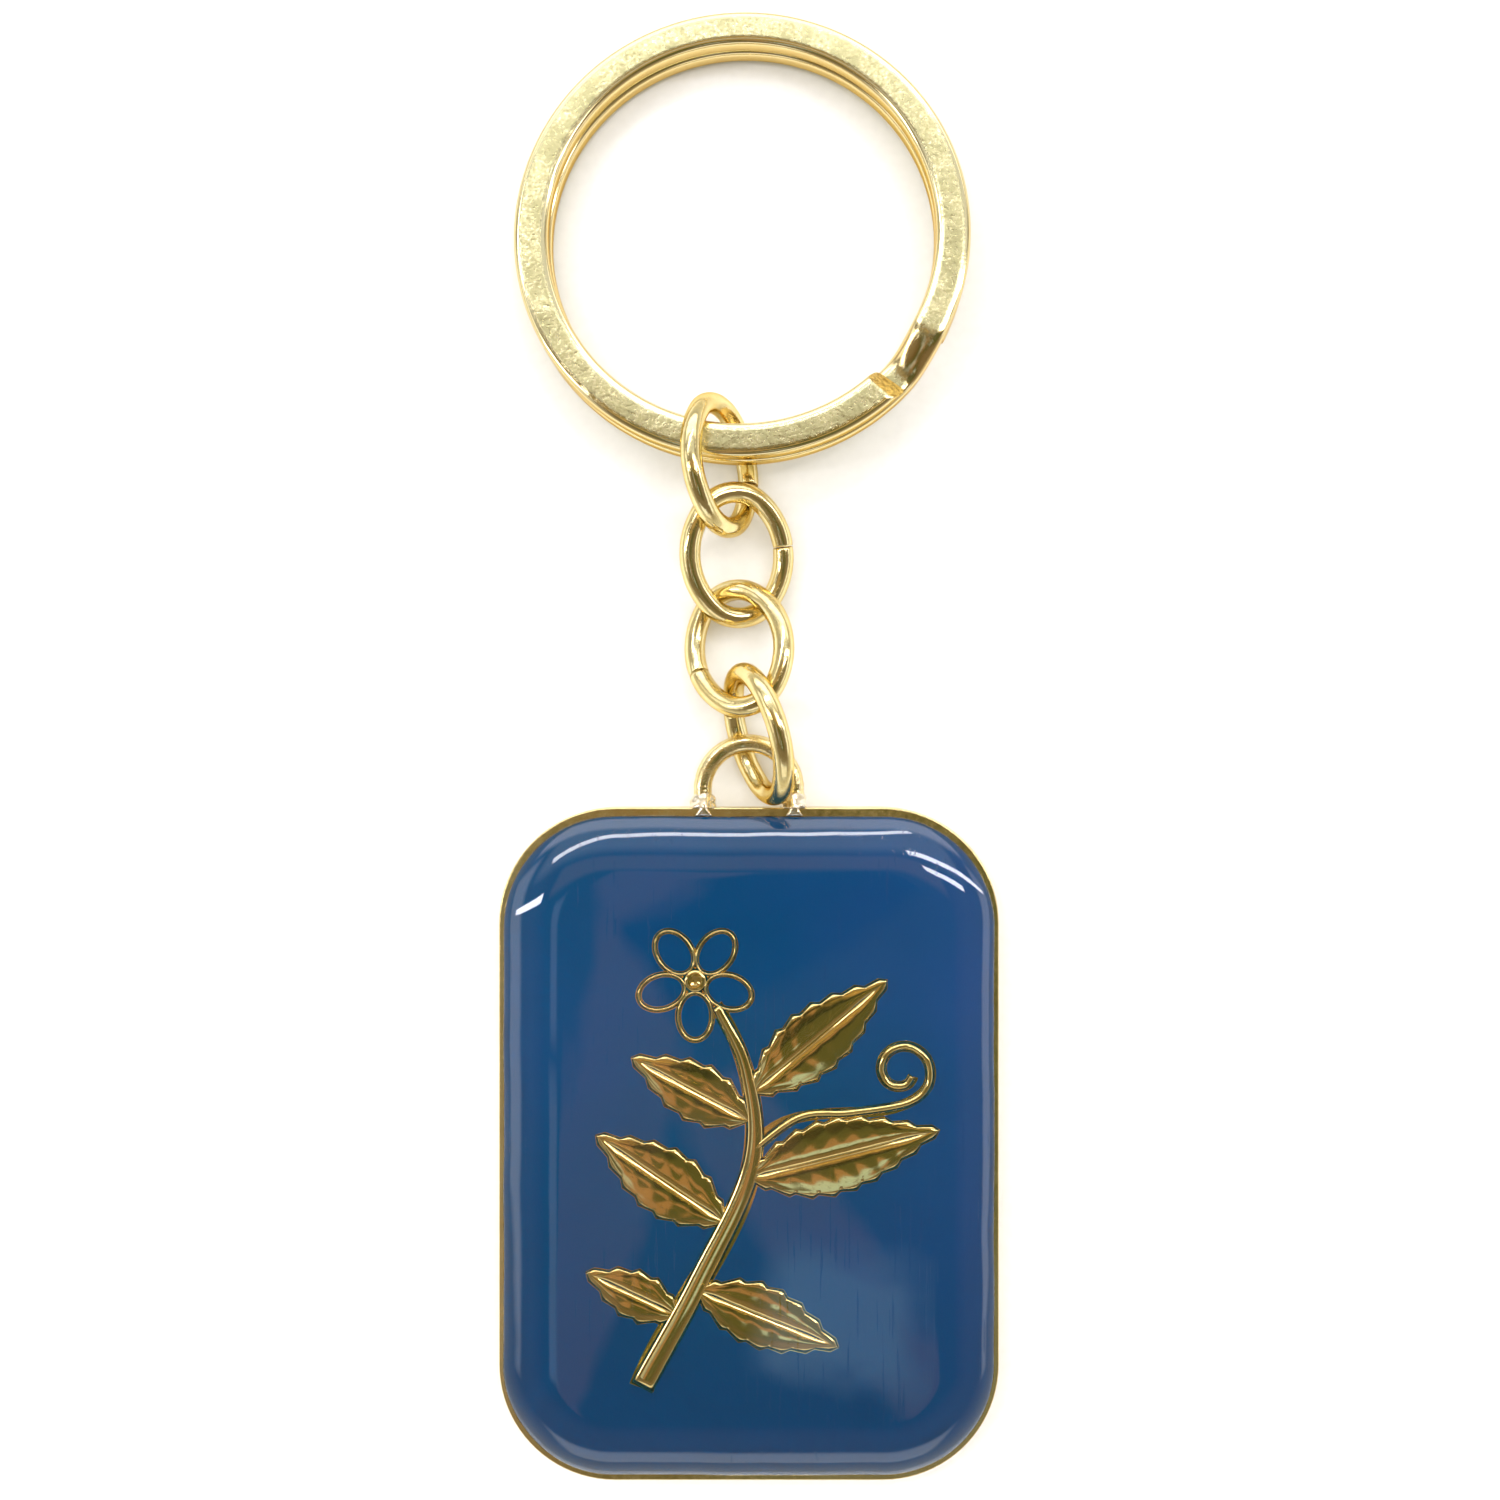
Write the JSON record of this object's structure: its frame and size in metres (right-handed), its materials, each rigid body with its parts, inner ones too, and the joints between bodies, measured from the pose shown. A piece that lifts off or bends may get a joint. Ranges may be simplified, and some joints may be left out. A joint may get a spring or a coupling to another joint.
{
  "type": "keychain",
  "caption": "Flat enamelled metal tag with a raised sprig under a clear resin dome, hung from a split ring by a short chain of oval wire links.",
  "frame": {"origin": "centre of the tag's flat back face, which lies on the resting surface", "axes": "+Z out of the back through the decorated front; +Y from the tag towards the split ring; +X to the right seen from the front"},
  "size_m": [0.0336, 0.0988, 0.0075],
  "materials": {
    "gold_plate": "bright gold-coloured plating",
    "gold_wire": "bright gold-coloured plating on bent wire",
    "gold_ring": "pale gold-coloured plating on barrelled flat spring wire",
    "gold_motif": "mirror-polished gold colour",
    "solder": "plated solder",
    "blue_enamel": "deep blue enamel",
    "clear_resin": "clear glossy epoxy dome"
  },
  "bodies": {
    "tag": {"tag_plate": "gold_plate", "enamel_fill": "blue_enamel", "emblem": "gold_motif", "resin_dome": "clear_resin", "hanging_loop": "gold_wire", "solder_left": "solder", "solder_right": "solder"},
    "link_4": {"chain_link_4": "gold_wire"},
    "link_3": {"chain_link_3": "gold_wire"},
    "link_2": {"chain_link_2": "gold_wire"},
    "link_1": {"chain_link_1": "gold_wire"},
    "ring": {"split_ring": "gold_ring"}
  },
  "joints": [
    {"name": "link_4_swing", "type": "hinge", "parent": "tag", "child": "link_4", "pos_m": [-0.00052, 0.0268, 0.00205], "axis": [-0.9853, -0.1708, 0], "range_deg": [-4, 125]},
    {"name": "link_3_swing", "type": "hinge", "parent": "link_4", "child": "link_3", "pos_m": [-0.00101, 0.03051, 0.00222], "axis": [-0.0906, -0.7191, -0.689], "range_deg": [-130, 1]},
    {"name": "link_2_swing", "type": "hinge", "parent": "link_3", "child": "link_2", "pos_m": [-0.00253, 0.03658, 0.00121], "axis": [-0.7162, -0.666, -0.2085], "range_deg": [-95, 0]},
    {"name": "link_1_swing", "type": "hinge", "parent": "link_2", "child": "link_1", "pos_m": [0.00054, 0.04324, 0.00273], "axis": [-0.78, 0.5261, 0.3389], "range_deg": [0, 90]},
    {"name": "ring_turn", "type": "hinge", "parent": "link_1", "child": "ring", "pos_m": [-0.00049, 0.06091, 0.00233], "axis": [-0.0305, 0.0671, 0.9973], "continuous": true}
  ]
}
